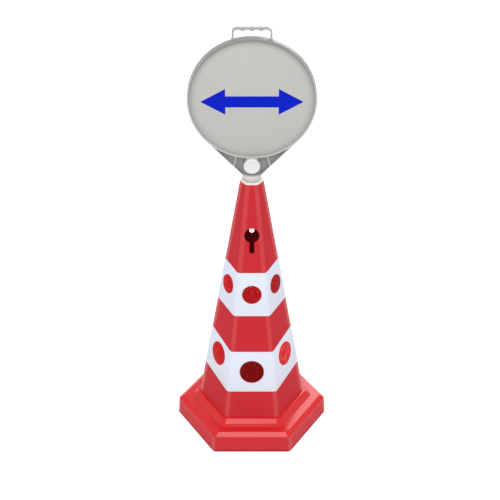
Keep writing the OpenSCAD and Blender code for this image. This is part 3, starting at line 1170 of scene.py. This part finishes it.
@dataclass
class SignHead:
    """The panel with its handle, stem, plug, faces and clamp.

    Attributes:
        panel: Finish of the panel.
        handle: Finish of the handle.
        stem: Finish of the stem.
        plug: Finish of the plug.
        film: Finish of the faces.
        cap: Finish of the caps.
        steel: Finish of the fasteners.
        panel_edge: Radius of the panel's edges.
        handle_edge: Radius of the handle's edges.
        stem_edge: Radius of the stem's edges.
        plug_edge: Radius of the plug's edges.
        sheet_edge: Radius of the face sheets' edges.
        cap_edge: Radius of the caps' edges.
        steel_edge: Radius of the fasteners' edges.
    """

    panel: PanelPlastic = PanelPlastic("panel_grey", from_srgb("bcbbb8"), 0.45)
    handle: MouldedPlastic = MouldedPlastic("handle_grey", from_srgb("aaa9a7"), 0.42)
    stem: MouldedPlastic = MouldedPlastic("stem_grey", from_srgb("d2d0cc"), 0.45)
    plug: MouldedPlastic = MouldedPlastic("plug_grey", from_srgb("ece4e2"), 0.45)
    film: FaceFilm = FaceFilm("face_grey", from_srgb("bebdb9"), rim_shadow_from=0.138)
    cap: MouldedPlastic = MouldedPlastic("cap_white", from_srgb("e2e2e5"), 0.35)
    steel: ZincSteel = ZincSteel("clamp_steel", (0.6, 0.6, 0.62))
    panel_edge: float = 0.0012
    handle_edge: float = 0.0018
    stem_edge: float = 0.001
    plug_edge: float = 0.0006
    sheet_edge: float = 0.0002
    cap_edge: float = 0.0008
    steel_edge: float = 0.0004

    def build(self) -> None:
        """Makes and dresses the pieces."""
        panel, handle = self.panel.material(), self.handle.material()
        stem, plug = self.stem.material(), self.plug.material()
        dressed("sign_panel", Body.SIGN, "panel_grey", panel, self.panel_edge)
        dressed("carry_handle", Body.SIGN, "handle_grey", handle, self.handle_edge, 4)
        dressed("sign_stem", Body.SIGN, "stem_grey", stem, self.stem_edge)
        dressed("mouth_plug", Body.PLUG, "plug_grey", plug, self.plug_edge)
        film, cap = self.film.material(), self.cap.material()
        for side in ("front", "rear"):
            dressed(f"{side}_sheet", Body.SIGN, "face_grey", film, self.sheet_edge, 2)
            dressed(f"{side}_cap", Body.SIGN, "cap_white", cap, self.cap_edge)
        steel = self.steel.material()
        for node in ("clamp_bolt", "clamp_nut", "clamp_washers", "keeper_screw", "keeper_washer"):
            dressed(node, Body.SIGN, "steel", steel, self.steel_edge, 2)


@dataclass
class ArrowPrint:
    """A plain two-way arrow printed on both faces of the sign.

    Attributes:
        ink: Finish of the print.
        length: Length from tip to tip.
        head: Length of a head.
        head_h: Height of a head.
        shaft_h: Height of the shaft.
        drop: How far its middle lies below the face's middle.
        ink_t: Thickness of the print.
    """

    ink: FaceFilm = FaceFilm("print_blue", from_srgb("021cc0"), 0.6, gloss=0.1)
    length: float = 0.258
    head: float = 0.062
    head_h: float = 0.07
    shaft_h: float = 0.03
    drop: float = 0.007
    ink_t: float = 0.0002

    def outline(self) -> list[tuple[float, float]]:
        """Draws the arrow about its middle.

        Returns:
            Its corners, in order.
        """
        tip = self.length / 2
        neck = tip - self.head
        right = [(neck, -self.shaft_h / 2), (neck, -self.head_h / 2), (tip, 0.0)]
        right += [(neck, self.head_h / 2), (neck, self.shaft_h / 2)]
        return right + [(-x, -y) for x, y in right]

    def build(self) -> None:
        """Prints the arrow on both faces."""
        material = self.ink.material()
        for side, sign in (("front", -1.0), ("rear", 1.0)):
            low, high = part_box(f"{side}_sheet")
            level = (low.z + high.z) / 2 - self.drop
            face = low.y if sign < 0 else high.y
            mesh = bmesh.new()
            corners = [mesh.verts.new((x, face, level + z)) for x, z in self.outline()]
            base = mesh.faces.new(corners)
            raised = bmesh.ops.extrude_face_region(mesh, geom=[base])
            moved = [v for v in raised["geom"] if isinstance(v, bmesh.types.BMVert)]
            bmesh.ops.translate(mesh, verts=moved, vec=(0.0, sign * self.ink_t, 0.0))
            bmesh.ops.recalc_face_normals(mesh, faces=mesh.faces)
            new_piece(f"{side}_arrow_print", mesh, material, Body.SIGN, 30.0)
            LOG.info("%s_arrow_print", side)


@dataclass(frozen=True)
class Lamp:
    """A soft square lamp.

    Attributes:
        name: Its name.
        place: Where it hangs.
        width: Its width, in metres.
        power: Its power, in watts.
    """

    name: str
    place: tuple[float, float, float]
    width: float
    power: float

    def hang(self, target: Vector) -> None:
        """Hangs the lamp in the scene.

        Args:
            target: The point that it faces.
        """
        data = bpy.data.lights.new(self.name, "AREA")
        data.shape = "SQUARE"
        data.size = self.width
        data.energy = self.power
        lamp = bpy.data.objects.new(self.name, data)
        lamp.location = self.place
        aim = target - Vector(self.place)
        lamp.rotation_euler = aim.to_track_quat("-Z", "Y").to_euler()
        bpy.context.scene.collection.objects.link(lamp)


@dataclass
class Studio:
    """Pale floor, soft light and the camera.

    Attributes:
        eye: The camera's place.
        pitch: How far the camera looks down, in degrees.
        focal_px: Focal length in pixels of the picture.
        picture_px: Width of the picture in pixels.
        floor_colour: Colour of the floor.
        floor_glow: Light that the floor adds for the camera, so that it reads as white.
        floor_half: Half the floor's width.
        sky: Strength of the surrounding light.
        sensor: Width of the camera's sensor, in millimetres.
        lit: The point that the lamps face.
        lamps: The lamps.
    """

    eye: tuple[float, float, float] = (-0.0049, -3.034, 2.3515)
    pitch: float = 30.85
    focal_px: float = 1324.6
    picture_px: float = 500.0
    floor_colour: Colour = (0.9, 0.9, 0.9)
    floor_glow: float = 0.5
    floor_half: float = 30.0
    sky: float = 0.62
    sensor: float = 36.0
    lit: tuple[float, float, float] = (0.0, 0.0, 0.6)
    lamps: tuple[Lamp, ...] = (
        Lamp("key", (-0.6, -4.2, 4.32), 2.25, 84.0),
        Lamp("rear_right", (0.75, 1.97, 1.65), 0.9, 16.0),
        Lamp("top", (0.15, -2.25, 5.07), 1.65, 56.0),
    )

    def build(self) -> None:
        """Sets up floor, light, camera and view."""
        self.floor()
        self.surround()
        for lamp in self.lamps:
            lamp.hang(Vector(self.lit))
        self.camera()
        bpy.context.scene.view_settings.view_transform = "Standard"
        LOG.info("studio: %d lamps", len(self.lamps))

    def seen(self, graph: Graph) -> Term:
        """Finds the rays that show the backdrop.

        Args:
            graph: The graph of the floor or the world.

        Returns:
            1 for rays from the camera, off a mirror or through glass, else 0.
        """
        path = graph.node("ShaderNodeLightPath")
        camera, glossy = graph.term(path, "Is Camera Ray"), graph.term(path, "Is Glossy Ray")
        return camera.at_least(glossy).at_least(graph.term(path, "Is Transmission Ray"))

    def floor(self) -> None:
        """Makes the floor."""
        mesh = bmesh.new()
        bmesh.ops.create_grid(mesh, x_segments=1, y_segments=1, size=self.floor_half)
        data = bpy.data.meshes.new("floor")
        mesh.to_mesh(data)
        mesh.free()
        graph = Graph(bpy.data.materials.new("floor_white"))
        plain = graph.node("ShaderNodeBsdfDiffuse", None, {"Color": self.floor_colour})
        glow = graph.node("ShaderNodeEmission", None, {"Strength": self.floor_glow})
        lit = graph.node("ShaderNodeAddShader", None, {0: plain.outputs[0], 1: glow.outputs[0]})
        parts = {0: self.seen(graph), 1: plain.outputs[0], 2: lit.outputs[0]}
        mix = graph.node("ShaderNodeMixShader", None, parts)
        graph.node("ShaderNodeOutputMaterial", None, {"Surface": mix.outputs[0]})
        data.materials.append(graph.owner)
        floor = bpy.data.objects.new("floor", data)
        bpy.context.scene.collection.objects.link(floor)

    def surround(self) -> None:
        """Lights the scene from all round with an even white."""
        world = bpy.data.worlds.new("surround")
        bpy.context.scene.world = world
        graph = Graph(world)
        path = graph.node("ShaderNodeLightPath")
        strength = 1 - (1 - self.sky) * graph.term(path, "Is Diffuse Ray")
        light = graph.node("ShaderNodeBackground", None, {"Color": (1, 1, 1), "Strength": strength})
        graph.node("ShaderNodeOutputWorld", None, {"Surface": light.outputs[0]})

    def camera(self) -> None:
        """Places the camera at the picture's viewing angle."""
        data = bpy.data.cameras.new("camera")
        data.sensor_width = self.sensor
        data.lens = self.focal_px / self.picture_px * data.sensor_width
        camera = bpy.data.objects.new("camera", data)
        camera.location = self.eye
        camera.rotation_euler = Euler((math.radians(90.0 - self.pitch), 0.0, 0.0))
        bpy.context.scene.collection.objects.link(camera)
        bpy.context.scene.camera = camera


def main() -> None:
    """Builds the dressed cone sign in its studio."""
    logging.basicConfig(level=logging.INFO, format="%(name)s %(message)s")
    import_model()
    RoadCone().build()
    ReflectiveDress().build()
    SignHead().build()
    ArrowPrint().build()
    Studio().build()


if __name__ == "__main__":
    main()
